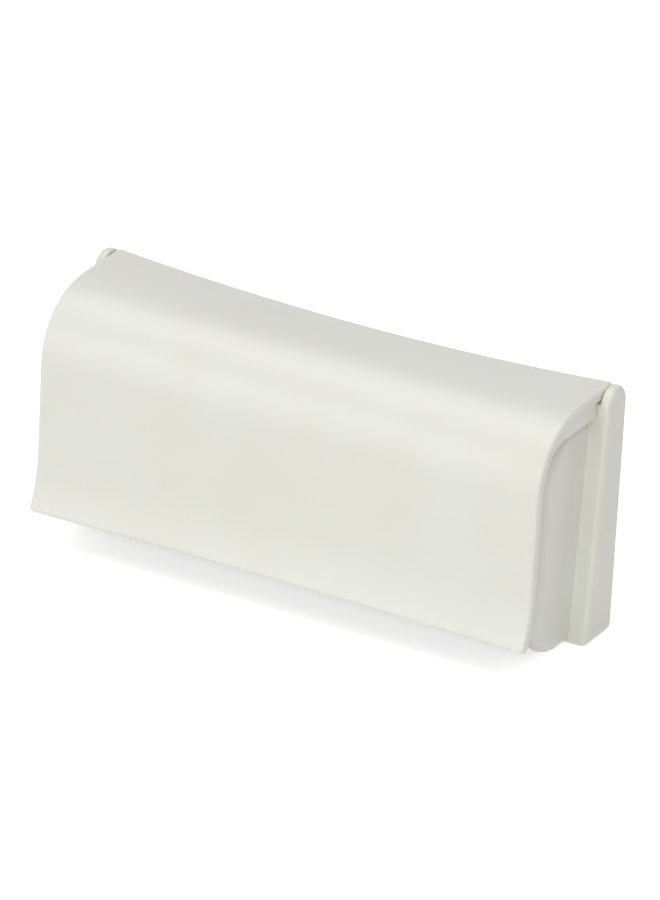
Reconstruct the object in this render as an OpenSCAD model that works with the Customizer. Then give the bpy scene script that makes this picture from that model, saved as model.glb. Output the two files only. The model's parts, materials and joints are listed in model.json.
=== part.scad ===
// Toothpaste dispenser: a tube squeezer that slides down a flat tube.
// A sprung front flap with a flared finger lip carries a press roller and pinches the tube
// against a ribbed rubber strip on the back plate. Two rounded cheeks guard the ends.
// X runs along the length, +Y points to the rear face and +Z up. The origin is the middle
// of the footprint on the surface that it stands on.

/* [Overall] */
// Length over the ends of the back plate
body_w = 78; // [74:1:100]
// Depth from the finger lip to the rear face
body_d = 22; // [21:0.5:28]
// Height of the two hinge ears
body_h = 35.6; // [34:0.1:46]
// Width of each end rail, which leaves the tube its channel between them
rail_w = 7.4; // [7.2:0.1:8.4]

/* [Back plate] */
// Thickness of the wall behind the tube
wall_t = 2.2; // [1.8:0.1:3]
// Height of that wall, below which the tube's tail leaves to the rear
wall_h = 26; // [21:0.5:26.5]
// Depth of the end rails at the foot
rail_foot_d = 7.2; // [6.5:0.1:8]
// Depth of the end rails at the ears
rail_top_d = 4.4; // [4.2:0.1:5]
// Width of each hinge ear
ear_w = 1.35; // [1.2:0.05:2]
// Rounding of the upper corners, seen from the front
plate_top_r = 1.3; // [0.8:0.1:1.3]
// Rounding of the lower corners, seen from the front
plate_foot_r = 1.2; // [1:0.1:2]
// Rounding of the upright rear edges
plate_edge_r = 0.8; // [0.5:0.1:1.6]

/* [Front flap] */
// Wall of the flap
flap_wall = 1.4; // [1.3:0.1:1.8]
// Wall at the tip of the finger lip
lip_t = 1.2; // [1:0.1:1.4]
// Height of the finger lip above the surface
lip_z = 4.4; // [3:0.1:6]
// Height at which the front starts to flare out
flare_z = 12.6; // [11:0.1:14]
// Radius of that flare
flare_r = 19; // [15:0.5:24]
// Radius of the curve from the front to the top
shoulder_r = 9.8; // [8:0.1:11]
// Radius of the slower curve that leads into the flat top
crown_r = 20; // [16:0.5:26]
// Angle that the slower curve takes up
crown_angle = 8; // [4:1:12]
// Drop of the ears' tops to the flat of the flap
flap_drop = 0.35; // [0.3:0.01:0.8]
// Distance of the flap's rear edge from the rear face
flap_rear_gap = 1; // [0.9:0.05:1.5]
// Rise of the flap towards its rear corners
corner_rise = 0.35; // [0:0.01:0.35]
// Hollow of the rear edge between the corners
top_dip = 1.55; // [0:0.05:2]
// Lift of the finger lip at mid length
lip_bow = 0.35; // [0:0.05:1]
// Rounding of the flap's ends
flap_end_r = 1.1; // [0.6:0.1:1.2]
// Gap between the flap's ends and the ears
ear_gap = 0.3; // [0.2:0.05:0.5]
// Depth of the flap's end walls below its underside
web_drop = 1.9; // [1.5:0.05:2]
// Inner rounding of the end walls where they meet the flap's front
web_r = 5.5; // [4:0.1:6]
// Thickness of the end walls
web_t = 0.8; // [0.6:0.05:0.9]

/* [Hinge] */
// Diameter of the two steel hinge pins
hinge_pin_d = 1.6; // [1.4:0.1:1.7]
// Running clearance of the pins in the flap, on radius
hinge_fit = 0.05; // [0.02:0.01:0.1]
// Drop of the hinge axis below the ears' tops
hinge_drop = 2.5; // [2.45:0.05:2.6]
// Distance of the hinge axis from the rear face
hinge_inset = 2.9; // [2.8:0.05:3]
// Radius of the flap's hinge tabs
tab_r = 1.5; // [1.4:0.05:1.6]
// Thickness of those tabs
tab_t = 1.65; // [1.2:0.05:1.8]
// Height of the rails' front rims above the hinge seats
seat_rim = 2; // [1.6:0.05:2]
// Radius of the back plate's inner knuckles
knuckle_r = 1.35; // [1.25:0.05:1.4]
// Thickness of those knuckles
knuckle_t = 1.7; // [1.4:0.05:1.8]
// Wire of the closing springs
spring_wire = 0.4; // [0.3:0.05:0.45]
// Length of each spring's coil
spring_len = 1.6; // [1.2:0.1:1.7]

/* [Cheeks] */
// Setback of a cheek's outer face from the back plate's end
cheek_inset = 2.74; // [2.6:0.02:3]
// Thickness of a cheek
cheek_t = 2.06; // [1.6:0.02:2.2]
// Gap between the flap's inside and a cheek's front edge
cheek_front_gap = 2.8; // [1.5:0.05:3.5]
// Gap between the flap's underside and a cheek's top edge
cheek_top_gap = 2.45; // [2.4:0.05:3.5]
// Upper rounding of a cheek
cheek_top_r = 7.5; // [4:0.5:8]
// Lower rounding of a cheek
cheek_foot_r = 6.5; // [3:0.5:7.5]

/* [Screws] */
// Shank diameter of the cheek screws
screw_d = 2.2; // [1.8:0.1:2.4]
// Head diameter of the cheek screws
screw_head_d = 4.2; // [3.8:0.1:4.4]
// Length of the cheek screws under the head's face
screw_len = 9; // [8:0.5:10]
// Depth of the heads below the rear face
screw_sunk = 0.3; // [0.2:0.05:0.5]
// Radius of the bosses that take them
boss_r = 2.1; // [1.9:0.05:2.15]
// Height of the lower screws
screw_low_z = 5.2; // [4:0.1:6.5]
// Height of the upper screws
screw_high_z = 25; // [24:0.1:25.6]

/* [Press roller] */
// Diameter over the rubber sleeve
roller_d = 10; // [9:0.1:10.4]
// Diameter of the plastic core
core_d = 7.4; // [6.6:0.1:8]
// Height of the roller's axis
roller_z = 14.6; // [13:0.1:15.6]
// Gap that the closed flap leaves for the empty tube's walls
pinch_gap = 0.4; // [0.3:0.05:0.6]
// Axial play at each end of the roller
roller_play = 0.3; // [0.2:0.05:0.4]
// Diameter of the steel axle
axle_d = 2.5; // [2:0.1:2.6]
// Running clearance of the bushes on the axle, on radius
axle_fit = 0.04; // [0.02:0.01:0.08]
// Outer diameter of the end bushes
bush_d = 4.6; // [4.2:0.1:5]
// Length of an end bush inside the core
bush_len = 4; // [3:0.5:6]
// Thickness of a bush's flange
bush_flange_t = 0.6; // [0.4:0.1:0.6]
// Diameter of a bush's flange
bush_flange_d = 6; // [5.2:0.1:6.4]
// Setback of the rubber sleeve from the core's ends
sleeve_setback = 0.3; // [0:0.1:1]
// Gap between the flap's roller arms and the cheeks
arm_gap = 0.3; // [0.2:0.05:0.6]
// Radius of the arms round the axle
arm_hub_r = 2; // [1.8:0.05:2.05]
// Height of an arm where it joins the flap's front
arm_root_h = 12; // [8:0.5:13]

/* [Anvil strip] */
// Thickness of the rubber strip
strip_t = 1.4; // [1.2:0.1:1.6]
// How far it stands proud of the wall
strip_proud = 0.8; // [0.6:0.1:1]
// Height of the strip
strip_h = 10; // [8:0.5:12]
// Setback of the strip's ends from the channel's sides
strip_end_gap = 0.6; // [0.4:0.1:2]
// Clearance round the strip in its pocket
strip_fit = 0.05; // [0.02:0.01:0.1]
// Pitch of the strip's grip grooves
groove_pitch = 2; // [1.5:0.1:3]
// Depth of the grip grooves
groove_depth = 0.3; // [0.2:0.05:0.5]

/* [Hidden] */
$fn = 48;

// Colours of the plastics, rubber and metal
white_gloss = [0.88, 0.88, 0.85];
white_cheek = [0.86, 0.86, 0.83];
grey_rubber = [0.45, 0.46, 0.47];
bright_steel = [0.75, 0.75, 0.77];
natural_acetal = [0.93, 0.92, 0.88];

// Small overlap that joins or clears solids without a shared face
eps = 0.01;
// Clearance between the swinging flap and what stands still under it
swing_gap = 0.2;
// Length cut well past the object's faces
far = 200;
// Overshoot of the cuts that round a corner
over = 1;

// Faces of the back plate
rear_y = body_d / 2;
wall_y = rear_y - wall_t;
half_w = body_w / 2;
half_slot = half_w - rail_w;
ear_in_x = half_w - ear_w;
rail_slope = (rail_foot_d - rail_top_d) / body_h;
function rail_front_y(z) = rear_y - rail_foot_d + rail_slope * z;

// Each ear ends in a round that meets both its rear face and its sloping front face
ear_r = rail_top_d / (1 + norm([1, rail_slope]) - rail_slope);
ear_y = rear_y - ear_r;
ear_z = body_h - ear_r;

// Hinge axis and what is strung along it, from an ear inwards
axis_y = rear_y - hinge_inset;
axis_z = body_h - hinge_drop;
flap_half_w = ear_in_x - ear_gap;
tab_out_x = flap_half_w - 0.05;
tab_in_x = tab_out_x - tab_t;
spring_out_x = tab_in_x - 0.1;
spring_in_x = spring_out_x - spring_len;
knuckle_out_x = spring_in_x - 0.3;
knuckle_in_x = knuckle_out_x - knuckle_t;
pin_end_x = half_w - 0.4;
web_out_x = tab_out_x - 0.02;
web_in_x = web_out_x - web_t;
spring_r = hinge_pin_d / 2 + 0.15 + spring_wire;

// Outer profile of the flap, from the rear edge over the shoulder to the lip
flap_top_z = body_h - flap_drop;
flap_under_z = flap_top_z - flap_wall;
flap_rear_y = rear_y - flap_rear_gap;
lip_angle = asin((flare_z - lip_z - lip_t / 2) / (flare_r + lip_t / 2));
flap_front_y = -body_d / 2 + lip_t / 2 + flare_r - (flare_r + lip_t / 2) * cos(lip_angle);
shoulder_y = flap_front_y + shoulder_r;
shoulder_z = flap_top_z - shoulder_r * cos(crown_angle) - crown_r * (1 - cos(crown_angle));
crown_y = shoulder_y + (crown_r - shoulder_r) * sin(crown_angle);
crown_z = flap_top_z - crown_r;
top_end_y = flap_rear_y - flap_wall / 2;

// Each profile point is [y, z, outward normal's y, its z, wall]
function top_points(n) = [for (i = [0:n]) [top_end_y + (crown_y - top_end_y) * i / n, flap_top_z, 0, 1, flap_wall]];
function arc_points(cy, cz, r, a0, a1, n) = [for (i = [1:n]) let (a = a0 + (a1 - a0) * i / n)
    [cy + r * cos(a), cz + r * sin(a), cos(a), sin(a), flap_wall]];
function front_points(n) = [for (i = [1:n]) [flap_front_y, shoulder_z + (flare_z - shoulder_z) * i / n, -1, 0, flap_wall]];
function flare_points(n) = [for (i = [1:n]) let (a = lip_angle * i / n)
    [flap_front_y - flare_r + flare_r * cos(a), flare_z - flare_r * sin(a), -cos(a), sin(a),
     flap_wall + (lip_t - flap_wall) * i / n]];
profile = concat(top_points(5), arc_points(crown_y, crown_z, crown_r, 90, 90 + crown_angle, 2),
                 arc_points(shoulder_y, shoulder_z, shoulder_r, 90 + crown_angle, 180, 11),
                 front_points(2), flare_points(6));
last = len(profile) - 1;

// The top sinks towards the rear edge, most at mid length, and the lip lifts a little there
sink_start_y = shoulder_y - 4;
function sink_share(y) = max(0, (y - sink_start_y) / (top_end_y - sink_start_y));
function soft_share(u) = u < 0.3 ? u * u / 0.6 : u - 0.15;
function shell_lift(x, y, z) = let (mid = 1 - pow(x / flap_half_w, 2))
    z > shoulder_z ? soft_share(sink_share(y)) / 0.85 * (corner_rise - top_dip * mid)
                   : lip_bow * mid * max(0, (flare_z - z) / (flare_z - lip_z));

// Stations along the flap, with the rounding of its ends as [x, inset of the outer skin]
end_steps = 4;
mid_steps = 7;
half_stations = concat([for (i = [0:mid_steps - 1]) [(flap_half_w - flap_end_r) * i / mid_steps, 0]],
    [for (i = [0:end_steps]) let (a = 90 * i / end_steps)
        [flap_half_w - flap_end_r + flap_end_r * sin(a), flap_end_r * (1 - cos(a))]]);
stations = concat([for (i = [len(half_stations) - 1:-1:1]) [-half_stations[i][0], half_stations[i][1]]],
                  half_stations);

function skin_point(x, p, depth) = let (y = p[0] - p[2] * depth, z = p[1] - p[3] * depth)
    [x, y, z + shell_lift(x, p[0], p[1])];
function edge_point(x, p, depth, reach) = let (ty = -p[3], tz = p[2])
    [x, p[0] - p[2] * depth + ty * reach, p[1] - p[3] * depth + tz * reach + shell_lift(x, p[0], p[1])];
// One closed ring: outer skin, lip edge, inner skin back to the rear, rear edge
edge_steps = 5;
function rounded_edge(x, p, inset, sign) = [for (i = [1:edge_steps]) let (a = 180 * i / (edge_steps + 1), h = (p[4] - inset) / 2)
    edge_point(x, p, inset + h - sign * h * cos(a), sign * h * sin(a))];
function ring(x, inset) = concat(
    [for (p = profile) skin_point(x, p, inset * p[4] / flap_wall)],
    rounded_edge(x, profile[last], inset * profile[last][4] / flap_wall, 1),
    [for (i = [last:-1:0]) skin_point(x, profile[i], profile[i][4])],
    rounded_edge(x, profile[0], inset, -1));
ring_n = 2 * (last + 1) + 2 * edge_steps;

// Faces of a cheek
cheek_out_x = half_w - cheek_inset;
cheek_in_x = cheek_out_x - cheek_t;
cheek_front_y = flap_front_y + flap_wall + cheek_front_gap;
cheek_top_z = flap_under_z - cheek_top_gap;
boss_x = cheek_out_x - 0.16 - boss_r;
boss_front_y = rear_y - screw_sunk - screw_len - 0.8;

// Rails stop below the circle that the flap's rear edge sweeps
sweep_r = norm([top_end_y - axis_y, flap_top_z + corner_rise - flap_wall / 2 - axis_z]) + flap_wall / 2;
rail_top_z = axis_z - sweep_r - swing_gap;

// In front of the hinge a rim rises from each rail's top, hollowed for the flap's tab
seat_top_z = rail_top_z + seat_rim;
seat_in_x = cheek_in_x;

// The flap's end walls stop in front of that rim
web_rear_y = rail_front_y(seat_top_z) - ear_gap;
web_under_z = flap_under_z - web_drop;

// Press roller between the flap's two arms, whose inner faces line up with the channel's sides
roller_y = wall_y - strip_proud - pinch_gap - roller_d / 2;
arm_out_x = cheek_in_x - arm_gap;
arm_in_x = half_slot;
core_half = arm_in_x - roller_play - bush_flange_t;
strip_half = half_slot - strip_end_gap;

// Extrudes a shape drawn in Y and Z from x0 to x1
module along_x(x0, x1) {
    translate([x0, 0, 0]) rotate([90, 0, 90]) linear_extrude(x1 - x0) children();
}

// A round bar or bore along X at a point of the Y-Z plane
module bar_x(x0, x1, y, z, r) {
    translate([x0, y, z]) rotate([0, 90, 0]) cylinder(h = x1 - x0, r = r);
}

// Builds for the right side, or mirrored for the left
module on_side(side) {
    mirror([side < 0 ? 1 : 0, 0, 0]) children();
}

// What is cut off to round a corner whose faces run away along sx and sy
module corner_waste(x, y, sx, sy, r) {
    difference() {
        translate([x + (sx > 0 ? -over : -r), y + (sy > 0 ? -over : -r)]) square(r + over);
        translate([x + sx * r, y + sy * r]) circle(r);
    }
}

// Side view of the back plate's rails and ears
module rail_side() {
    tilt = atan(rail_slope);
    polygon([[rear_y, 0], [rear_y, ear_z], [ear_y, ear_z],
             [ear_y - ear_r * cos(tilt), ear_z + ear_r * sin(tilt)], [rail_front_y(0), 0]]);
    translate([ear_y, ear_z]) circle(ear_r);
}

// Front view of the back plate, with its corners rounded
module plate_front() {
    difference() {
        translate([-half_w, 0]) square([body_w, body_h]);
        for (s = [-1, 1]) {
            corner_waste(s * half_w, body_h, -s, -1, plate_top_r);
            corner_waste(s * half_w, 0, -s, 1, plate_foot_r);
        }
    }
}

// Plan view of the back plate, with its rear edges rounded
module plate_plan() {
    difference() {
        translate([-half_w, -rear_y]) square([body_w, body_d]);
        for (s = [-1, 1]) corner_waste(s * half_w, rear_y, -s, -1, plate_edge_r);
    }
}

module screw_places() {
    for (z = [screw_low_z, screw_high_z]) translate([boss_x, rear_y, z]) rotate([90, 0, 0]) children();
}

// A countersunk screw along +Z from the rear face, grown by a clearance for its hole
module screw_shape(grow, length) {
    head_r = screw_head_d / 2 + grow;
    shank_r = screw_d / 2 + grow;
    cone_h = head_r - shank_r;
    translate([0, 0, screw_sunk]) {
        cylinder(h = length, r = shank_r);
        rotate_extrude() polygon([[0, 0], [head_r, 0], [head_r, 0.2], [shank_r, 0.2 + cone_h], [0, 0.2 + cone_h]]);
    }
}

module knuckle() {
    bar_x(knuckle_in_x, knuckle_out_x, axis_y, axis_z, knuckle_r);
    along_x(knuckle_in_x, knuckle_out_x)
        polygon([[axis_y - knuckle_r, rail_top_z - 1], [axis_y + 0.5, rail_top_z - 1],
                 [axis_y + 0.5, axis_z], [axis_y - knuckle_r, axis_z]]);
}

// Rim in front of the hinge, set back a hair so that no face coincides with the rail's
module hinge_seat() {
    hair = 0.02;
    along_x(seat_in_x, ear_in_x + 0.1) difference() {
        polygon([[rail_front_y(rail_top_z - 1) + hair, rail_top_z - 1], [axis_y, rail_top_z - 1],
                 [axis_y, seat_top_z], [rail_front_y(seat_top_z) + hair, seat_top_z]]);
        translate([axis_y, axis_z]) circle(tab_r + swing_gap);
    }
}

module back_plate() {
    pocket_t = strip_t - strip_proud;
    color(white_gloss) difference() {
        union() {
            intersection() {
                along_x(-half_w, half_w) rail_side();
                translate([0, far / 2, 0]) rotate([90, 0, 0]) linear_extrude(far) plate_front();
                linear_extrude(body_h) plate_plan();
                difference() {
                    translate([-half_w, -body_d, 0]) cube([body_w, far, body_h]);
                    translate([-half_slot, -far + wall_y, -1]) cube([2 * half_slot, far, far]);
                    translate([-half_slot, 0, wall_h]) cube([2 * half_slot, far, far]);
                    translate([-ear_in_x, 0, rail_top_z]) cube([2 * ear_in_x, far, far]);
                }
            }
            for (s = [-1, 1]) on_side(s) {
                knuckle();
                hinge_seat();
            }
        }
        for (s = [-1, 1]) on_side(s) {
            bar_x(knuckle_in_x - 1, pin_end_x, axis_y, axis_z, hinge_pin_d / 2);
            screw_places() translate([0, 0, -screw_sunk]) {
                cylinder(h = screw_sunk + eps, r = screw_head_d / 2 + 0.1);
            }
            screw_places() screw_shape(0.1, far);
        }
        translate([-strip_half - strip_fit, wall_y - eps, roller_z - strip_h / 2 - strip_fit])
            cube([2 * (strip_half + strip_fit), pocket_t + eps, strip_h + 2 * strip_fit]);
    }
}

// Side view of a cheek, still reaching past the rail's front face
module cheek_side() {
    difference() {
        translate([cheek_front_y, 0]) square([far, cheek_top_z]);
        corner_waste(cheek_front_y, cheek_top_z, 1, -1, cheek_top_r);
        corner_waste(cheek_front_y, 0, 1, 1, cheek_foot_r);
    }
}

// A cheek and its two screw bosses end together on the rail's sloping front face
module cheek() {
    difference() {
        intersection() {
            union() {
                along_x(cheek_in_x, cheek_out_x) cheek_side();
                for (z = [screw_low_z, screw_high_z])
                    translate([boss_x, boss_front_y, z]) rotate([-90, 0, 0]) cylinder(h = far, r = boss_r);
            }
            along_x(0, half_w)
                polygon([[-far, -over], [rail_front_y(-over), -over], [rail_front_y(body_h), body_h], [-far, body_h]]);
        }
        screw_places() translate([0, 0, screw_sunk]) cylinder(h = screw_len, r = screw_d / 2);
    }
}

module left_cheek() {
    color(white_cheek) on_side(-1) cheek();
}

module right_cheek() {
    color(white_cheek) on_side(1) cheek();
}

module cheek_screws() {
    color(bright_steel) for (s = [-1, 1]) on_side(s) screw_places() screw_shape(0, screw_len);
}

module anvil_strip() {
    grooves = floor((strip_h / 2 - 1) / groove_pitch);
    face_y = wall_y - strip_proud;
    color(grey_rubber) difference() {
        translate([-strip_half, face_y, roller_z - strip_h / 2]) cube([2 * strip_half, strip_t, strip_h]);
        for (i = [-grooves:grooves]) translate([-far / 2, face_y - eps, roller_z + i * groove_pitch - 0.25])
            cube([far, groove_depth + eps, 0.5]);
    }
}

module hinge_pin(side) {
    color(bright_steel) on_side(side) bar_x(knuckle_in_x, pin_end_x, axis_y, axis_z, hinge_pin_d / 2);
}

module left_hinge_pin() {
    hinge_pin(-1);
}

module right_hinge_pin() {
    hinge_pin(1);
}

// Coil round the hinge pin, with one leg under the flap's rear edge and one down to the rail
module closing_spring(side) {
    leg_r = spring_wire / 2;
    rail_leg_y = axis_y + spring_r - leg_r / 2;
    flap_leg_z = flap_under_z - leg_r - 0.1;
    color(bright_steel) on_side(side) {
        difference() {
            bar_x(spring_in_x, spring_out_x, axis_y, axis_z, spring_r);
            bar_x(spring_in_x - 1, spring_out_x + 1, axis_y, axis_z, spring_r - spring_wire);
        }
        translate([spring_in_x + leg_r + eps, rail_leg_y, rail_top_z + eps])
            cylinder(h = axis_z - rail_top_z, r = leg_r);
        translate([spring_out_x - leg_r - eps, axis_y + hinge_pin_d / 2 + leg_r, flap_leg_z]) rotate([-90, 0, 0])
            cylinder(h = flap_rear_y - 0.2 - axis_y - hinge_pin_d / 2 - leg_r, r = leg_r);
    }
}

module left_closing_spring() {
    closing_spring(-1);
}

module right_closing_spring() {
    closing_spring(1);
}

// Curved shell of the flap as one skin over its stations
module flap_shell() {
    points = [for (s = stations) each ring(s[0], s[1])];
    n = len(stations);
    sides = [for (i = [0:n - 2]) for (k = [0:ring_n - 1])
        let (a = i * ring_n + k, b = i * ring_n + (k + 1) % ring_n)
            each [[a, b + ring_n, b], [a, a + ring_n, b + ring_n]]];
    function inner(k) = 2 * last + 1 + edge_steps - k;
    end_face = concat([for (k = [0:last - 1]) each [[k, inner(k + 1), inner(k)], [k, k + 1, inner(k + 1)]]],
                      [[for (i = [0:edge_steps + 1]) last + i]],
                      [concat([for (i = [0:edge_steps]) inner(0) + i], [0])]);
    far_face = [for (f = end_face) [for (j = [len(f) - 1:-1:0]) f[j] + (n - 1) * ring_n]];
    polyhedron(points, concat(sides, end_face, far_face), convexity = 8);
}

// An arm from the flap's front wall to the roller's axle
module roller_arm() {
    root_y = flap_front_y + flap_wall * 0.6;
    along_x(arm_in_x, arm_out_x) {
        translate([roller_y, roller_z]) circle(arm_hub_r);
        polygon([[root_y, roller_z + arm_root_h / 2], [roller_y, roller_z + arm_hub_r],
                 [roller_y, roller_z - arm_hub_r], [root_y, roller_z - arm_root_h / 2]]);
    }
}

// A hinge tab under the flap's end, carried by the end wall in front of it
module hinge_tab() {
    low_z = seat_top_z + ear_gap;
    high_z = flap_under_z + flap_wall / 3;
    along_x(tab_in_x, tab_out_x) {
        intersection() {
            translate([axis_y, axis_z]) circle(tab_r);
            translate([axis_y - tab_r, axis_z - tab_r]) square([2 * tab_r, tab_r + high_z - axis_z]);
        }
        translate([web_rear_y - ear_gap, low_z]) square([axis_y - web_rear_y + ear_gap, high_z - low_z]);
    }
}

// An end wall closes the flap's upper corner down to the cheek's rim
module end_web() {
    low_z = web_under_z - web_r;
    depth = 0.7 * flap_wall;
    corner_y = flap_front_y + flap_wall;
    skin = [for (p = profile) if (p[0] < web_rear_y && p[1] > low_z) [p[0] - p[2] * depth, p[1] - p[3] * depth]];
    along_x(web_in_x, web_out_x) difference() {
        polygon(concat([[web_rear_y, low_z], [web_rear_y, flap_top_z - depth]], skin,
                       [[flap_front_y + depth, low_z]]));
        difference() {
            translate([corner_y, low_z - over]) square([far, web_r + over]);
            corner_waste(corner_y, web_under_z, 1, -1, web_r);
        }
    }
}

module front_flap() {
    color(white_gloss) difference() {
        union() {
            flap_shell();
            for (s = [-1, 1]) on_side(s) {
                roller_arm();
                hinge_tab();
                end_web();
            }
        }
        for (s = [-1, 1]) on_side(s) {
            bar_x(knuckle_in_x - 0.2, tab_in_x, axis_y, axis_z, knuckle_r + 0.15);
            bar_x(tab_in_x - 1, half_w, axis_y, axis_z, hinge_pin_d / 2 + hinge_fit);
            bar_x(arm_in_x - 1, arm_out_x + 1, roller_y, roller_z, axle_d / 2);
        }
    }
}

module roller_axle() {
    color(bright_steel) bar_x(-arm_out_x, arm_out_x, roller_y, roller_z, axle_d / 2);
}

module bush(side) {
    color(natural_acetal) on_side(side) difference() {
        union() {
            bar_x(core_half - bush_len, core_half + eps, roller_y, roller_z, bush_d / 2);
            bar_x(core_half, core_half + bush_flange_t, roller_y, roller_z, bush_flange_d / 2);
        }
        bar_x(0, half_w, roller_y, roller_z, axle_d / 2 + axle_fit);
    }
}

module left_bush() {
    bush(-1);
}

module right_bush() {
    bush(1);
}

module roller_core() {
    color(white_cheek) difference() {
        bar_x(-core_half, core_half, roller_y, roller_z, core_d / 2);
        bar_x(-half_w, half_w, roller_y, roller_z, axle_d / 2 + 0.3);
        for (s = [-1, 1]) on_side(s) bar_x(core_half - bush_len, half_w, roller_y, roller_z, bush_d / 2);
    }
}

module roller_sleeve() {
    sleeve_half = core_half - sleeve_setback;
    color(grey_rubber) difference() {
        bar_x(-sleeve_half, sleeve_half, roller_y, roller_z, roller_d / 2);
        bar_x(-half_w, half_w, roller_y, roller_z, core_d / 2);
    }
}

back_plate();
left_cheek();
right_cheek();
cheek_screws();
anvil_strip();
left_hinge_pin();
right_hinge_pin();
left_closing_spring();
right_closing_spring();
front_flap();
roller_axle();
roller_core();
roller_sleeve();
left_bush();
right_bush();
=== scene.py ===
"""Looks of a toothpaste tube squeezer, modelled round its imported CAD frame.

The white shells are built here with Blender's own tools: the front flap from a sheet that is
spun and extruded, the back plate and cheeks from boxes with rounded edges. The small working
parts keep their CAD solids or get their wound and cut details. All lengths are in metres.
"""

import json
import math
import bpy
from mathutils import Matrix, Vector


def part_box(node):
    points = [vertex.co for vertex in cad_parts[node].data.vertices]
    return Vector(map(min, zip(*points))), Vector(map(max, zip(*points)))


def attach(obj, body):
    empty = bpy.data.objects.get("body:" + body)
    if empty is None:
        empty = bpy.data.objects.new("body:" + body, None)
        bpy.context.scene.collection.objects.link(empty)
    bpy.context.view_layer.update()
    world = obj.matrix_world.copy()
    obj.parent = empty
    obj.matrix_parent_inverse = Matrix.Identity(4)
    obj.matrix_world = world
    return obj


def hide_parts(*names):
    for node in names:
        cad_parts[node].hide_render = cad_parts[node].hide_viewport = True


bl_info = {
    "name": "Toothpaste Dispenser",
    "version": (1, 0, 0),
    "blender": (4, 5, 0),
    "location": "View3D > Sidebar > Dispenser",
    "description": "Models a white tube squeezer with a sprung front flap round its CAD frame",
    "category": "Add Mesh",
}

import bmesh
import bpy
from mathutils import Matrix, Vector

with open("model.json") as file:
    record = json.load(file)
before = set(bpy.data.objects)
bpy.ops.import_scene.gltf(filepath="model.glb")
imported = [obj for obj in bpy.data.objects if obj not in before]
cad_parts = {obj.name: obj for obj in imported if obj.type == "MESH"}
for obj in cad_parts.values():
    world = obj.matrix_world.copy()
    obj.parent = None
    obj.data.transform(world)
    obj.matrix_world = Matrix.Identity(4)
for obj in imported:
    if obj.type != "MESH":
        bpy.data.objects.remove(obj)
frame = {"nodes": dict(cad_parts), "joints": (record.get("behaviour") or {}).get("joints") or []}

MM = 0.001
# A hair's breadth, which keeps two faces out of one plane
HAIR = 0.02 * MM
# Clearance of a close fit
FIT = 0.05 * MM
# Edges that turn by more than this are sharp ones, in radians
SHARP = 0.9
PLATE_LOW, PLATE_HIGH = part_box("back_plate")
FLAP_LOW, FLAP_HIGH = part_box("front_flap")
CHEEK_LOW, CHEEK_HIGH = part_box("right_cheek")
# Thickness of a cheek, in millimetres
CHEEK_T = 2.06
CHEEK_IN_X = CHEEK_HIGH.x - CHEEK_T * MM
STRIP_LOW, STRIP_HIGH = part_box("anvil_strip")
PIN_LOW, PIN_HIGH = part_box("right_hinge_pin")
PIN_R = (PIN_HIGH.z - PIN_LOW.z) / 2
SPRING_LOW, SPRING_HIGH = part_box("right_closing_spring")
SCREWS_LOW, SCREWS_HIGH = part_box("cheek_screws")
AXLE_LOW, AXLE_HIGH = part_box("roller_axle")
SLEEVE_LOW, SLEEVE_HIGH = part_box("roller_sleeve")
HINGE = next(j for j in frame["joints"] if j["name"] == "flap_hinge")
AXIS_Y, AXIS_Z = HINGE["pos_m"][1:]

# The flap's top starts to rise towards its rear corners this far in front of the shoulder's centre
SADDLE_LEAD = 4 * MM
# Share of that rise that is a curve, before it goes on as a straight line
SADDLE_EASE = 0.3
# What is moulded on to the flap starts this share of its wall below its outer face
ROOT_SHARE = 0.6
# Parts round a turn of the springs' wire, and how often the wire goes round
WIRE_STEPS, WIRE_TURNS = 24, 4.25
# Flutes round the roller's sleeve, and faces from one flute to the next
FLUTES, FLUTE_PARTS = 24, 4

# Direction of each softbox from the object, and its width in metres
SOFTBOXES = {
    "key": ((0.48, -0.83, 0.25), 0.5),
    "fill": ((-0.48, -0.83, 0.25), 0.6),
    "top": ((-0.1, -0.1, 1.0), 0.8),
}
SOFTBOX_AWAY = 0.8
FLOOR_WIDTH = 6


def size(name, description, millimetres):
    """A length property that is given in millimetres and kept in metres."""
    return bpy.props.FloatProperty(
        name=name,
        description=description,
        default=millimetres * MM,
        min=0,
        unit="LENGTH",
        precision=5,
    )


def turn(name, description, degrees):
    """An angle property that is given in degrees."""
    return bpy.props.FloatProperty(
        name=name,
        description=description,
        default=math.radians(degrees),
        subtype="ANGLE",
    )


def linear(hex_colour):
    """An sRGB hex colour as linear RGBA."""
    channels = [int(hex_colour[i : i + 2], 16) / 255 for i in (1, 3, 5)]
    return [c / 12.92 if c <= 0.04045 else ((c + 0.055) / 1.055) ** 2.4 for c in channels] + [1.0]


def paint(name, description, hex_colour):
    """A colour property that is given as sRGB hex."""
    return bpy.props.FloatVectorProperty(
        name=name,
        description=description,
        default=linear(hex_colour),
        size=4,
        min=0,
        max=1,
        subtype="COLOR",
    )


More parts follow.
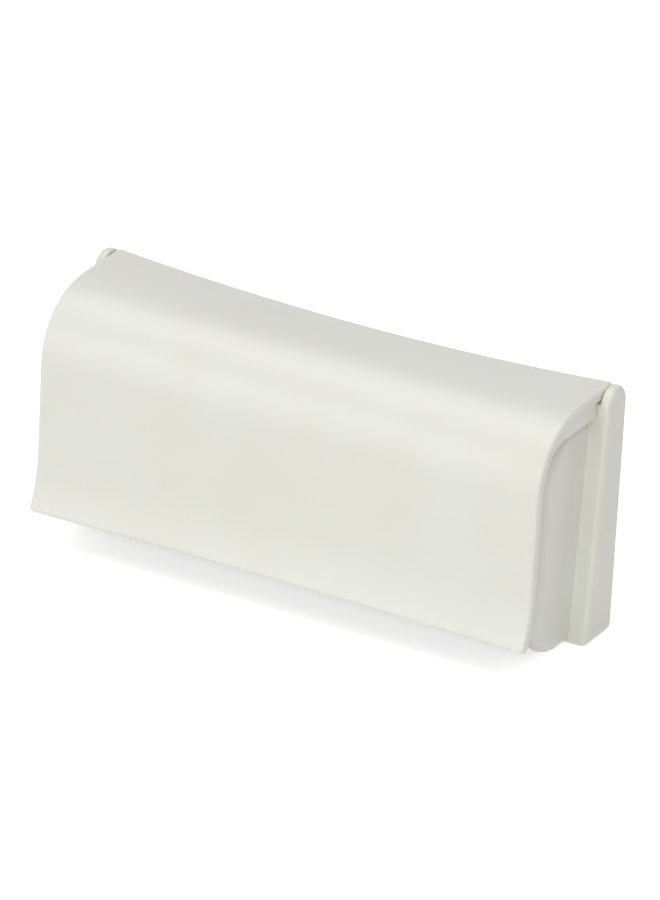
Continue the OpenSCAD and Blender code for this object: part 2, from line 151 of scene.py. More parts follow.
class FlapSizes(bpy.types.PropertyGroup):
    """Sizes of the front flap and its roller arms."""

    wall: size("Wall", "Thickness of the flap", 1.4)
    lip_end: size("Lip end", "Straight end of the finger lip, past its curve", 0.6)
    lip_spare: size("Lip spare", "How far the lip's end stays inside the flap's box", 0.03)
    crown_r: size("Crown radius", "Slow curve that leads from the top to the shoulder", 20)
    crown_angle: turn("Crown angle", "Angle that the slow curve takes up", 8)
    shoulder_r: size("Shoulder radius", "Curve from the top to the front", 9.8)
    flare_r: size("Flare radius", "Hollow curve from the front out to the lip", 19)
    flare_z: size("Flare height", "Height at which the front starts to flare out", 12.6)
    corner_rise: size("Corner rise", "Rise of the top towards its rear corners", 0.35)
    top_dip: size("Top dip", "Hollow of the rear edge between the corners", 1.55)
    lip_bow: size("Lip bow", "Lift of the finger lip at mid length", 0.35)
    outer_r: size("Outer rounding", "Rounding of the outer edge all round", 0.9)
    inner_r: size("Inner rounding", "Rounding of the inner edge all round", 0.35)
    corner_r: size("Corner rounding", "Rounding of the corners of the sheet", 0.65)
    arm_hub_r: size("Arm hub radius", "Radius of the arms round the axle", 2)
    arm_root_h: size("Arm root", "Height of an arm where it joins the flap's front", 12)
    tab_r: size("Tab radius", "Radius of the hinge tabs", 1.5)
    tab_t: size("Tab width", "Width of a hinge tab along the pin", 1.6)
    end_wall_drop: size("End wall depth", "Depth of the end walls under the flap's top", 1.9)
    end_wall_r: size("End wall rounding", "Inner rounding of the end walls at the front", 5.5)
    end_wall_t: size("End wall thickness", "Thickness of the end walls", 0.8)
    relief_fit: size("Relief fit", "Clearance round the knuckles under the flap's top", 0.15)
    end_wall_y: size("End wall rear", "Where the end walls stop in front of the rails", 5.5)


class PlateSizes(bpy.types.PropertyGroup):
    """Sizes of the back plate."""

    rail_w: size("Rail width", "Width of each end rail", 7.4)
    rail_top_d: size("Rail depth at the top", "Depth of the end rails at the ears", 5)
    rail_top_z: size("Rail height", "Height of the rails' inner parts, under the hinge", 30.04)
    ear_w: size("Ear width", "Width of each hinge ear", 1.45)
    ear_r: size("Ear rounding", "Rounding over the ear, front and rear", 2.4)
    wall_t: size("Wall", "Thickness of the wall behind the tube", 2.2)
    wall_h: size("Wall height", "Height of the wall behind the tube", 26)
    foot_r: size("Foot rounding", "Rounding of the lower corners, seen from the front", 1.2)
    edge_r: size("Edge rounding", "Rounding of the outer edges at each end", 0.8)
    fine_r: size("Fine rounding", "Rounding of every other edge", 0.25)
    seat_rim: size("Seat rim", "Rise of the rails in front of the hinge tabs", 3.6)
    seat_fit: size("Seat clearance", "Gap between a hinge tab and its seat", 0.2)
    knuckle_r: size("Knuckle radius", "Radius of the inner knuckles round the pins", 1.35)
    knuckle_w: size("Knuckle width", "Width of the inner knuckles", 1.7)
    knuckle_back: size("Knuckle back", "How far the knuckles' roots reach behind the pins", 0.5)


class CheekSizes(bpy.types.PropertyGroup):
    """Sizes of the two cheeks."""

    thickness: size("Thickness", "Thickness of a cheek", CHEEK_T)
    top_r: size("Top rounding", "Rounding of the front upper corner", 7.5)
    foot_r: size("Foot rounding", "Rounding of the front lower corner", 6.5)
    rim_r: size("Rim rounding", "Rounding of the outer rim", 1.5)
    inner_rim_r: size("Inner rim rounding", "Rounding of the inner rim", 0.2)
    boss_r: size("Boss radius", "Radius of the screw bosses", 2.1)


class WorkSizes(bpy.types.PropertyGroup):
    """Sizes of the screws, springs and roller."""

    head_r: size("Screw head radius", "Radius of the countersunk heads", 2.1)
    shank_r: size("Screw shank radius", "Radius of the screws' shanks", 1.1)
    wire: size("Spring wire", "Diameter of the closing springs' wire", 0.3)
    flute_depth: size("Flute depth", "Depth of the grip flutes in the roller's sleeve", 0.25)


class Finish(bpy.types.PropertyGroup):
    """Colours of the plastics, rubber and metal."""

    abs_white: paint("White ABS", "Warm white of the moulded shells", "#E7E8E0")
    abs_shade: paint("White ABS, shade", "Slightly duller white in the plastic's flow", "#E4E4DB")
    rubber_grey: paint("Grey rubber", "Grip strip and roller sleeve", "#7E8083")
    steel: paint("Stainless steel", "Pins, axle, screws and springs", "#C9CACC")
    acetal: paint("Acetal", "End bushes and roller core", "#EFEDE4")
    floor: paint("Floor", "Pale floor and background", "#F4F4F2")


class StageSizes(bpy.types.PropertyGroup):
    """Camera and lights."""

    azimuth: turn("Azimuth", "Turn of the camera from the front towards the right", 28.68)
    elevation: turn("Elevation", "Angle of the camera above the horizon", 24.29)
    roll: turn("Roll", "Turn of the camera about its own line of sight", 3.04)
    distance: size("Distance", "From the camera to the point that it looks at", 918.6)
    lens: bpy.props.FloatProperty(
        name="Focal length",
        description="Focal length in millimetres on a 36 mm high frame",
        default=280.7,
    )
    aim: bpy.props.FloatVectorProperty(
        name="Aim",
        description="Point that the camera looks at",
        default=(1.0 * MM, 1.3 * MM, 19.25 * MM),
        unit="LENGTH",
    )
    sky: bpy.props.FloatProperty(
        name="Sky", description="Strength of the even light from all round", default=0.3
    )
    key: bpy.props.FloatProperty(
        name="Key light", description="Power of the softbox beside the camera, in watts", default=2.1
    )
    fill: bpy.props.FloatProperty(
        name="Fill light", description="Power of the softbox at the front left, in watts", default=1.2
    )
    top: bpy.props.FloatProperty(
        name="Top light", description="Power of the softbox overhead, in watts", default=3.2
    )
    floor_lift: bpy.props.FloatProperty(
        name="Floor lift", description="White that is added to the floor as it is seen", default=0.6
    )


GROUPS = {
    "dispenser_flap": FlapSizes,
    "dispenser_plate": PlateSizes,
    "dispenser_cheeks": CheekSizes,
    "dispenser_works": WorkSizes,
    "dispenser_finish": Finish,
    "dispenser_stage": StageSizes,
}


# Modelling helpers


def deselect():
    """Leaves nothing selected, so an operator acts on its own piece alone."""
    bpy.ops.object.select_all(action="DESELECT")


def start_edit(obj):
    """Opens obj alone in edit mode with nothing selected."""
    deselect()
    obj.select_set(True)
    bpy.context.view_layer.objects.active = obj
    bpy.ops.object.mode_set(mode="EDIT")
    bpy.ops.mesh.select_all(action="DESELECT")


def end_edit():
    """Goes back to object mode."""
    bpy.ops.object.mode_set(mode="OBJECT")


def pick(kind, test):
    """Selects the edited mesh's verts, edges or faces that pass a test, and nothing else."""
    bpy.ops.mesh.select_mode(type={"verts": "VERT", "edges": "EDGE", "faces": "FACE"}[kind])
    bpy.ops.mesh.select_all(action="DESELECT")
    mesh = bmesh.from_edit_mesh(bpy.context.edit_object.data)
    for element in getattr(mesh, kind):
        if test(element):
            element.select_set(True)
    mesh.select_flush_mode()
    bmesh.update_edit_mesh(bpy.context.edit_object.data)


def middle(element):
    """The middle of an edge or face."""
    corners = [v.co for v in element.verts]
    return sum(corners, Vector()) / len(corners)


def near(a, b, reach=0.01 * MM):
    """Whether two lengths are the same, but for rounding."""
    return abs(a - b) < reach


def along(edge, axis):
    """Whether an edge runs along the X, Y or Z axis, numbered from 0."""
    run = edge.verts[1].co - edge.verts[0].co
    return abs(run[axis]) > 0.9 * run.length


def extrude(offset):
    """Extrudes the selected faces or edges by an offset."""
    bpy.ops.mesh.extrude_region_move(TRANSFORM_OT_translate={"value": offset})


def cut(point, normal):
    """Cuts the whole edited mesh along a plane, and keeps both sides."""
    bpy.ops.mesh.select_all(action="SELECT")
    bpy.ops.mesh.bisect(plane_co=point, plane_no=normal)


def modify(obj, kind, **settings):
    """Adds a modifier and applies it."""
    deselect()
    obj.select_set(True)
    bpy.context.view_layer.objects.active = obj
    added = obj.modifiers.new(kind.title(), kind)
    for name, value in settings.items():
        setattr(added, name, value)
    bpy.ops.object.modifier_apply(modifier=added.name)


def soften(obj, width, share, segments=4):
    """Rounds obj's edges by width times the share, from 0 to 1, that a rule gives each of them."""
    obj.data.attributes.new("bevel_weight_edge", "FLOAT", "EDGE")
    mesh = bmesh.new()
    mesh.from_mesh(obj.data)
    rounding = mesh.edges.layers.float["bevel_weight_edge"]
    for edge in mesh.edges:
        if len(edge.link_faces) == 2:
            edge[rounding] = share(edge)
    mesh.to_mesh(obj.data)
    mesh.free()
    modify(obj, "BEVEL", width=width, segments=segments, limit_method="WEIGHT")


def ease(obj, width):
    """Breaks all of obj's sharp edges by a small width."""
    modify(obj, "BEVEL", width=width, segments=2, limit_method="ANGLE", angle_limit=SHARP)


def combine(obj, other, operation):
    """Joins or cuts obj with another solid, which is used up."""
    modify(obj, "BOOLEAN", object=other, operation=operation, solver="EXACT")
    bpy.data.objects.remove(other)


def named(name):
    """Names the primitive that was just added, with its place moved into its mesh."""
    obj = bpy.context.active_object
    obj.name = name
    obj.data.name = name
    bpy.ops.object.transform_apply(location=True, rotation=True, scale=True)
    return obj


def block(name, low, high):
    """A box between two corners, to start a piece from."""
    low, high = Vector(low), Vector(high)
    deselect()
    bpy.ops.mesh.primitive_cube_add(size=1, location=(low + high) / 2, scale=high - low)
    return named(name)


def rod(name, start, end, radius, vertices=48):
    """A cylinder from one point to another, to start a piece from."""
    start, end = Vector(start), Vector(end)
    deselect()
    bpy.ops.mesh.primitive_cylinder_add(
        vertices=vertices,
        radius=radius,
        depth=(end - start).length,
        location=(start + end) / 2,
        rotation=(end - start).to_track_quat("Z", "Y").to_euler(),
    )
    return named(name)


def round_front_top(obj, y, z, radius):
    """Rounds the edge along X where a block's front and top meet."""
    start_edit(obj)
    pick("edges", lambda e: along(e, 0) and near(middle(e).y, y) and near(middle(e).z, z))
    bpy.ops.mesh.bevel(offset=radius, segments=20)
    end_edit()


def mirror_x(obj):
    """Turns a right-hand piece into a left-hand one."""
    start_edit(obj)
    bpy.ops.mesh.select_all(action="SELECT")
    bpy.ops.transform.resize(value=(-1, 1, 1), center_override=(0, 0, 0))
    end_edit()


def dress(obj, body, slot, material, *nodes, angle=35):
    """Finishes a piece: normals, shading, material, and the CAD body and nodes that it goes with."""
    start_edit(obj)
    bpy.ops.mesh.select_all(action="SELECT")
    bpy.ops.mesh.remove_doubles(threshold=0.001 * MM)
    bpy.ops.mesh.normals_make_consistent(inside=False)
    end_edit()
    bpy.ops.object.shade_smooth_by_angle(angle=math.radians(angle))
    modify(obj, "WEIGHTED_NORMAL", keep_sharp=True, weight=100)
    obj.data.materials.clear()
    obj.data.materials.append(material)
    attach(obj, body)
    if nodes:
        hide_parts(*nodes)
    return obj


# Finishes


def add_node(tree, kind, values=None, links=None, **settings):
    """Adds a shader node with its settings, its input values and its links."""
    added = tree.nodes.new(kind)
    for name, value in settings.items():
        setattr(added, name, value)
    for socket, value in (values or {}).items():
        added.inputs[socket].default_value = value
    for socket, source in (links or {}).items():
        tree.links.new(source, added.inputs[socket])
    return added


def blank_material(name):
    """An empty material, its node tree and its output node."""
    material = bpy.data.materials.new(name)
    material.use_nodes = True
    material.node_tree.nodes.clear()
    return material, material.node_tree, add_node(material.node_tree, "ShaderNodeOutputMaterial")


def noise(tree, place, width, detail):
    """Noise whose blotches are about that wide, as a value from 0 to 1."""
    values = {"Scale": 1 / width, "Detail": detail}
    return add_node(tree, "ShaderNodeTexNoise", values, {"Vector": place}).outputs["Fac"]


def between(tree, low, high, value):
    """A value from 0 to 1 as one from low to high."""
    values = {"To Min": low, "To Max": high}
    return add_node(tree, "ShaderNodeMapRange", values, {"Value": value}).outputs["Result"]


def bump(tree, strength, distance, height, under=None):
    """The normal of a bumped surface, on top of another one where that is given."""
    values = {"Strength": strength, "Distance": distance}
    links = {"Height": height}
    if under:
        links["Normal"] = under
    return add_node(tree, "ShaderNodeBump", values, links).outputs["Normal"]


def surface(tree, output, values, links):
    """Gives a material its shader, with the constants set on the shader's own sockets."""
    shader = add_node(tree, "ShaderNodeBsdfPrincipled", values, links)
    tree.links.new(shader.outputs[0], output.inputs["Surface"])


def moulded_abs(finish):
    """Injection-moulded ABS: a warm white with a soft gloss.

    Light enters about half a millimetre deep, which lightens narrow gaps and softens the edges.
    The polished mould leaves a faint waviness a few millimetres wide, which softens the
    highlights, and a very fine grain. The colour hardly varies.
    """
    material, tree, output = blank_material("moulded_white_abs")
    place = add_node(tree, "ShaderNodeTexCoord").outputs["Object"]
    flow = noise(tree, place, 14 * MM, 2.0)
    colour = add_node(tree, "ShaderNodeValToRGB", links={"Fac": flow})
    colour.color_ramp.elements[0].position = 0.3
    colour.color_ramp.elements[0].color = finish.abs_shade
    colour.color_ramp.elements[1].position = 0.7
    colour.color_ramp.elements[1].color = finish.abs_white
    wave = noise(tree, place, 4 * MM, 1.0)
    # Real grain is about 0.05 mm, drawn at 0.3 mm so that it shows in a close view
    grain = noise(tree, place, 0.3 * MM, 3.0)
    gloss = between(tree, 0.27, 0.33, flow)
    soft = bump(tree, 0.25, 0.02 * MM, wave)
    fine = bump(tree, 0.15, 0.004 * MM, grain, under=soft)
    values = {
        "IOR": 1.52,
        "Subsurface Weight": 0.45,
        "Subsurface Radius": (1.0, 0.95, 0.85),
        "Subsurface Scale": 0.5 * MM,
    }
    links = {"Base Color": colour.outputs["Color"], "Roughness": gloss, "Normal": fine}
    surface(tree, output, values, links)
    return material


def soft_rubber(finish):
    """Grey moulded elastomer: matt, with a fine spark-eroded texture that scatters the light."""
    material, tree, output = blank_material("grey_rubber")
    place = add_node(tree, "ShaderNodeTexCoord").outputs["Object"]
    grain = noise(tree, place, 0.25 * MM, 4.0)
    rough = between(tree, 0.62, 0.82, grain)
    relief = bump(tree, 0.4, 0.02 * MM, grain)
    values = {"Base Color": finish.rubber_grey, "IOR": 1.5}
    surface(tree, output, values, {"Roughness": rough, "Normal": relief})
    return material


def drawn_steel(finish):
    """Drawn stainless steel: bright, with fine draw lines along X that stretch its highlights."""
    material, tree, output = blank_material("drawn_stainless_steel")
    place = add_node(tree, "ShaderNodeTexCoord").outputs["Object"]
    # Draw lines about 0.1 mm apart round the wire and many times longer than that along it
    stretched = add_node(
        tree, "ShaderNodeMapping", {"Scale": (0.05, 1.0, 1.0)}, {"Vector": place}
    )
    lines = noise(tree, stretched.outputs["Vector"], 0.1 * MM, 2.0)
    rough = between(tree, 0.18, 0.34, lines)
    relief = bump(tree, 0.2, 0.004 * MM, lines)
    values = {"Base Color": finish.steel, "Metallic": 1.0}
    surface(tree, output, values, {"Roughness": rough, "Normal": relief})
    return material


def turned_acetal(finish):
    """Natural acetal: a milky white, waxy and a little duller than the shells."""
    material, tree, output = blank_material("natural_acetal")
    place = add_node(tree, "ShaderNodeTexCoord").outputs["Object"]
    cloud = noise(tree, place, 2 * MM, 2.0)
    rough = between(tree, 0.42, 0.55, cloud)
    surface(tree, output, {"Base Color": finish.acetal, "IOR": 1.48}, {"Roughness": rough})
    return material


def material_of(name, make):
    """The material of that name, made on its first use."""
    return bpy.data.materials.get(name) or make(bpy.context.scene.dispenser_finish)


def white_abs():
    return material_of("moulded_white_abs", moulded_abs)


def grey_rubber():
    return material_of("grey_rubber", soft_rubber)


def stainless():
    return material_of("drawn_stainless_steel", drawn_steel)


def acetal():
    return material_of("natural_acetal", turned_acetal)


# Pieces


def rail_front(z, plate):
    """Y of the rails' sloping front face at a height."""
    top_y = PLATE_HIGH.y - plate.rail_top_d
    return PLATE_LOW.y + (top_y - PLATE_LOW.y) * z / PLATE_HIGH.z


def flap_profile(flap):
    """The places where the curves of the flap's side view meet, worked out from its sizes."""
    tip = flap.lip_end
    reach = flap.flare_z - FLAP_LOW.z - tip
    lip_angle = math.asin(reach / (flap.flare_r + tip))
    end_y = FLAP_LOW.y + tip + flap.lip_spare
    front_y = end_y + flap.flare_r - (flap.flare_r + tip) * math.cos(lip_angle)
    top_z = FLAP_HIGH.z - flap.corner_rise
    shoulder_y = front_y + flap.shoulder_r
    shoulder_z = (
        top_z
        - flap.shoulder_r * math.cos(flap.crown_angle)
        - flap.crown_r * (1 - math.cos(flap.crown_angle))
    )
    crown_y = shoulder_y + (flap.crown_r - flap.shoulder_r) * math.sin(flap.crown_angle)
    return {
        "lip_angle": lip_angle,
        "front_y": front_y,
        "top_z": top_z,
        "shoulder": (0, shoulder_y, shoulder_z),
        "crown": (0, crown_y, top_z - flap.crown_r),
        "flare": (0, front_y - flap.flare_r, flap.flare_z),
    }


def lift(co, flap, profile):
    """How far a point of the flap's sheet moves up: the top's saddle and the lip's bow."""
    across = 1 - (co.x / FLAP_HIGH.x) ** 2
    if co.z > profile["shoulder"][2]:
        start_y = profile["shoulder"][1] - SADDLE_LEAD
        share = max(0, (co.y - start_y) / (FLAP_HIGH.y - flap.wall / 2 - start_y))
        half = SADDLE_EASE / 2
        share = share * share / (2 * SADDLE_EASE) if share < SADDLE_EASE else share - half
        return min(share / (1 - half), 1) * (flap.corner_rise - flap.top_dip * across)
    drop = max(0, flap.flare_z - co.z) / (flap.flare_z - FLAP_LOW.z)
    return flap.lip_bow * across * drop


def flap_sheet(flap, at):
    """The flap's outer face as a sheet: a grid that is spun over the shoulder and out to the lip."""
    crown_y = at["crown"][1]
    deselect()
    bpy.ops.mesh.primitive_grid_add(
        x_subdivisions=44,
        y_subdivisions=6,
        size=1,
        location=(0, (FLAP_HIGH.y + crown_y) / 2, at["top_z"]),
    )
    sheet = bpy.context.active_object
    sheet.scale = (2 * FLAP_HIGH.x, FLAP_HIGH.y - crown_y, 1)
    sheet = named("flap_shell")
    start_edit(sheet)
    pick("edges", lambda e: all(near(v.co.y, crown_y) for v in e.verts))
    # Without a window, spin turns the other way, so the angles that lead down are negative
    bpy.ops.mesh.spin(steps=4, angle=-flap.crown_angle, center=at["crown"], axis=(1, 0, 0))
    to_front = flap.crown_angle - math.pi / 2
    bpy.ops.mesh.spin(steps=24, angle=to_front, center=at["shoulder"], axis=(1, 0, 0))
    front_parts = 4
    for _ in range(front_parts):
        extrude((0, 0, (flap.flare_z - at["shoulder"][2]) / front_parts))
    bpy.ops.mesh.spin(steps=10, angle=at["lip_angle"], center=at["flare"], axis=(1, 0, 0))
    down = Vector((0, -math.sin(at["lip_angle"]), -math.cos(at["lip_angle"])))
    extrude(down * flap.lip_end)
    bpy.ops.mesh.select_all(action="SELECT")
    bpy.ops.mesh.remove_doubles(threshold=0.001 * MM)
    pick("verts", lambda v: len(v.link_edges) == 2)
    bpy.ops.mesh.bevel(offset=flap.corner_r, segments=5, affect="VERTICES")
    end_edit()
    for v in sheet.data.vertices:
        v.co.z += lift(v.co, flap, at)
    start_edit(sheet)
    bpy.ops.mesh.select_all(action="SELECT")
    bpy.ops.mesh.normals_make_consistent(inside=False)
    if max(sheet.data.polygons, key=lambda p: p.center.z).normal.z < 0:
        bpy.ops.mesh.flip_normals()
    end_edit()
    return sheet


def make_flap(flap, plate):
    """The flap's shell: its sheet thickened and rounded, with room for the knuckles."""
    shell = flap_sheet(flap, flap_profile(flap))
    # The second slot marks the rim's faces until the rounding is done
    shell.data.materials.append(None)
    shell.data.materials.append(None)
    modify(
        shell,
        "SOLIDIFY",
        thickness=flap.wall,
        offset=-1,
        use_even_offset=True,
        material_offset_rim=1,
    )
    up_and_front = Vector((0, -0.6, 0.8))

    def rim_share(edge):
        skin = [f for f in edge.link_faces if f.material_index == 0]
        if len(skin) != 1:
            return 0
        return 1 if skin[0].normal.dot(up_and_front) > 0 else flap.inner_r / flap.outer_r

    soften(shell, flap.outer_r, rim_share)
    for side in (-1, 1):
        start = (side * (PIN_LOW.x - flap.relief_fit), AXIS_Y, AXIS_Z)
        end = (side * (FLAP_HIGH.x - flap.tab_t), AXIS_Y, AXIS_Z)
        relief = rod("knuckle_relief", start, end, plate.knuckle_r + flap.relief_fit)
        combine(shell, relief, "DIFFERENCE")
    return dress(shell, "flap", "white_plastic", white_abs(), "front_flap", angle=50)


class DISPENSER_OT_front_flap(bpy.types.Operator):
    """Model the front flap with its flared finger lip"""

    bl_idname = "dispenser.front_flap"
    bl_label = "Front Flap"
    bl_options = {"REGISTER", "UNDO"}

    def execute(self, context):
        make_flap(context.scene.dispenser_flap, context.scene.dispenser_plate)
        return {"FINISHED"}


def make_end_wall(word, side, flap):
    """An end wall that fills the flap's upper corner in front of the rail."""
    at = flap_profile(flap)
    depth = ROOT_SHARE * flap.wall
    outer_x = FLAP_HIGH.x - HAIR
    top_z = at["top_z"] - depth
    under_z = at["top_z"] - flap.wall - flap.end_wall_drop
    rear_y = flap.end_wall_y
    wall = block(
        f"{word}_end_wall",
        (outer_x - flap.end_wall_t, at["front_y"] + depth, under_z - flap.end_wall_r),
        (outer_x, rear_y, top_z),
    )
    start_edit(wall)
    pick("verts", lambda v: near(v.co.y, rear_y) and near(v.co.z, top_z))
    rise = lift(Vector((FLAP_HIGH.x, rear_y, top_z)), flap, at)
    bpy.ops.transform.translate(value=(0, 0, rise))
    end_edit()
    round_front_top(wall, at["front_y"] + depth, top_z, flap.shoulder_r - depth)
    inner_y = at["front_y"] + flap.wall
    hollow = block(
        "hollow",
        (outer_x - 2 * MM, inner_y, under_z - 2 * flap.end_wall_r),
        (outer_x + MM, rear_y + MM, under_z),
    )
    round_front_top(hollow, inner_y, under_z, flap.end_wall_r)
    combine(wall, hollow, "DIFFERENCE")
    ease(wall, 0.15 * MM)
    if side < 0:
        mirror_x(wall)
    return dress(wall, "flap", "white_plastic", white_abs(), "front_flap")


def make_hinge_tab(word, side, flap):
    """A hinge tab: an eye round the pin whose upper half is pulled up into the flap's top."""
    inset = 0.1 * MM
    out_x = FLAP_HIGH.x - inset
    tab = rod(
        f"{word}_hinge_tab",
        (side * (out_x - flap.tab_t), AXIS_Y, AXIS_Z),
        (side * out_x, AXIS_Y, AXIS_Z),
        flap.tab_r,
    )
    start_edit(tab)
    pick("faces", lambda f: f.normal.z > 0.2)
    root_z = flap_profile(flap)["top_z"] - flap.wall / 2
    extrude((0, 0, root_z - AXIS_Z))
    bpy.ops.transform.resize(value=(1, 1, 0), center_override=(0, 0, root_z))
    end_edit()
    start = (side * (out_x - 2 * flap.tab_t), AXIS_Y, AXIS_Z)
    end = (side * 2 * out_x, AXIS_Y, AXIS_Z)
    combine(tab, rod("bore", start, end, PIN_R + FIT), "DIFFERENCE")
    ease(tab, 0.12 * MM)
    return dress(tab, "flap", "white_plastic", white_abs(), "front_flap")


class DISPENSER_OT_flap_arms(bpy.types.Operator):
    """Model the flap's roller arms, end walls and hinge tabs"""

    bl_idname = "dispenser.flap_arms"
    bl_label = "Roller Arms, End Walls and Hinge Tabs"
    bl_options = {"REGISTER", "UNDO"}

    def execute(self, context):
        flap = context.scene.dispenser_flap
        at = flap_profile(flap)
        axle_y, axle_z = (AXLE_LOW.y + AXLE_HIGH.y) / 2, (AXLE_LOW.z + AXLE_HIGH.z) / 2
        inner_x = PLATE_HIGH.x - context.scene.dispenser_plate.rail_w
        root_y = at["front_y"] + ROOT_SHARE * flap.wall
        for side, word in ((-1, "left"), (1, "right")):
            arm = rod(
                f"{word}_roller_arm",
                (side * inner_x, axle_y, axle_z),
                (side * AXLE_HIGH.x, axle_y, axle_z),
                flap.arm_hub_r,
            )
            start_edit(arm)
            pick("faces", lambda f: f.normal.y < -0.2)
            extrude((0, root_y - axle_y, 0))
            bpy.ops.transform.resize(
                value=(1, 0, flap.arm_root_h / (2 * flap.arm_hub_r)),
                center_override=(0, root_y, axle_z),
            )
            end_edit()
            ease(arm, 0.2 * MM)
            dress(arm, "flap", "white_plastic", white_abs(), "front_flap")
            make_end_wall(word, side, flap)
            make_hinge_tab(word, side, flap)
        return {"FINISHED"}


def lean(low_z, high_z, plate):
    """Moves the front of the edited mesh's higher end back with the rail's slope."""
    low_y, high_y = rail_front(low_z, plate), rail_front(high_z, plate)
    pick("verts", lambda v: near(v.co.z, high_z) and near(v.co.y, low_y, 0.05 * MM))
    bpy.ops.transform.translate(value=(0, high_y - low_y, 0))


def make_rail(plate):
    """The right half of the back plate: rail, ear and half of the wall, pulled up from a block."""
    inner_x = PLATE_HIGH.x - plate.rail_w
    ear_x = PLATE_HIGH.x - plate.ear_w
    wall_y = PLATE_HIGH.y - plate.wall_t
    rail = block("back_plate_shell", (inner_x, PLATE_LOW.y, 0), (*PLATE_HIGH.xy, plate.rail_top_z))
    start_edit(rail)
    lean(0, plate.rail_top_z, plate)
    cut((ear_x, 0, 0), (1, 0, 0))
    pick("faces", lambda f: f.normal.z > 0.9 and middle(f).x > ear_x)
    extrude((0, 0, PLATE_HIGH.z - plate.rail_top_z))
    pick("verts", lambda v: near(v.co.z, PLATE_HIGH.z) and v.co.y < wall_y)
    slope_y = rail_front(PLATE_HIGH.z, plate) - rail_front(plate.rail_top_z, plate)
    bpy.ops.transform.translate(value=(0, slope_y, 0))
    cut((0, wall_y, 0), (0, 1, 0))
    cut((0, 0, plate.wall_h), (0, 0, 1))
    pick(
        "faces",
        lambda f: near(middle(f).x, inner_x)
        and middle(f).y > wall_y
        and middle(f).z < plate.wall_h,
    )
    extrude((-inner_x, 0, 0))
    bpy.ops.mesh.delete(type="ONLY_FACE")
    # The cuts leave lines in flat faces, which would stand in the roundings' way
    bpy.ops.mesh.select_all(action="SELECT")
    bpy.ops.mesh.dissolve_limited(angle_limit=math.radians(1))
    pick("edges", lambda e: along(e, 0) and near(middle(e).z, PLATE_HIGH.z))
    bpy.ops.mesh.bevel(offset=plate.ear_r, segments=12)
    pick("edges", lambda e: along(e, 1) and near(middle(e).x, PLATE_HIGH.x) and middle(e).z < MM)
    bpy.ops.mesh.bevel(offset=plate.foot_r, segments=8)
    end_edit()
    return rail


def make_seat_rim(side, plate):
    """The rim that rises from a rail in front of the hinge tab and closes the gap under the flap."""
    low_z, high_z = plate.rail_top_z - MM, plate.rail_top_z + plate.seat_rim
    front_y = rail_front(low_z, plate) + HAIR
    into_ear = 0.3 * MM
    rim = block(
        "seat_rim",
        (CHEEK_IN_X, front_y, low_z),
        (PLATE_HIGH.x - plate.ear_w + into_ear, AXIS_Y, high_z),
    )
    start_edit(rim)
    lean(low_z, high_z, plate)
    pick("edges", lambda e: along(e, 0) and near(middle(e).z, high_z) and middle(e).y < AXIS_Y - MM)
    bpy.ops.mesh.bevel(offset=0.2 * MM, segments=3)
    end_edit()
    if side < 0:
        mirror_x(rim)
    return rim


def make_knuckle(side, plate):
    """The inner knuckle: an eye whose lower half is pulled down into the rail."""
    knuckle = rod(
        "knuckle",
        (side * PIN_LOW.x, AXIS_Y, AXIS_Z),
        (side * (PIN_LOW.x + plate.knuckle_w), AXIS_Y, AXIS_Z),
        plate.knuckle_r,
    )
    start_edit(knuckle)
    back_y = AXIS_Y + plate.knuckle_back
    root_z = plate.rail_top_z - 0.5 * MM
    pick("faces", lambda f: f.normal.z < -0.3 and f.calc_center_median().y < back_y)
    extrude((0, 0, root_z - AXIS_Z))
    bpy.ops.transform.resize(value=(1, 1, 0), center_override=(0, 0, root_z))
    end_edit()
    return knuckle


def fit_hinge(shell, side, plate):
    """Gives one end of the back plate its seat for the hinge tab and its knuckle."""
    combine(shell, make_seat_rim(side, plate), "UNION")
    seat = rod(
        "seat",
        (side * (CHEEK_IN_X - 0.1 * MM), AXIS_Y, AXIS_Z),
        (side * (PLATE_HIGH.x - plate.ear_w), AXIS_Y, AXIS_Z),
        bpy.context.scene.dispenser_flap.tab_r + plate.seat_fit,
    )
    combine(shell, seat, "DIFFERENCE")
    combine(shell, make_knuckle(side, plate), "UNION")


def drill_screw_holes(shell, side, works):
    """Cuts the room for one end's two screw heads into the rear face."""
    depth, room = 0.5 * MM, 0.1 * MM
    for place in screw_places(works):
        hole = rod(
            "screw_hole",
            (side * place.x, place.y - depth, place.z),
            (side * place.x, place.y + MM, place.z),
            works.head_r + room,
        )
        combine(shell, hole, "DIFFERENCE")


def make_back_plate(plate):
    """The back plate: both rails, ears and knuckles, with the wall between them."""
    shell = make_rail(plate)
    wall_y = PLATE_HIGH.y - plate.wall_t

    def edge_share(edge):
        if edge.calc_face_angle() < math.radians(40) or near(middle(edge).x, 0):
            return 0
        on_side = all(near(v.co.x, PLATE_HIGH.x) for v in edge.verts)
        at_foot = middle(edge).z < plate.foot_r and not near(middle(edge).y, wall_y)
        whole = on_side or (at_foot and not along(edge, 1))
        return 1 if whole else plate.fine_r / plate.edge_r

    soften(shell, plate.edge_r, edge_share)
    modify(shell, "MIRROR", use_axis=(True, False, False), use_clip=True, merge_threshold=0.01 * MM)
    room = Vector((FIT, 0, FIT))
    combine(shell, block("pocket", STRIP_LOW - room, STRIP_HIGH + room), "DIFFERENCE")
    for side in (-1, 1):
        fit_hinge(shell, side, plate)
        drill_screw_holes(shell, side, bpy.context.scene.dispenser_works)
    return dress(shell, "base", "white_plastic", white_abs(), "back_plate")


class DISPENSER_OT_back_plate(bpy.types.Operator):
    """Model the back plate with its end rails and hinge ears"""

    bl_idname = "dispenser.back_plate"
    bl_label = "Back Plate"
    bl_options = {"REGISTER", "UNDO"}

    def execute(self, context):
        make_back_plate(context.scene.dispenser_plate)
        return {"FINISHED"}


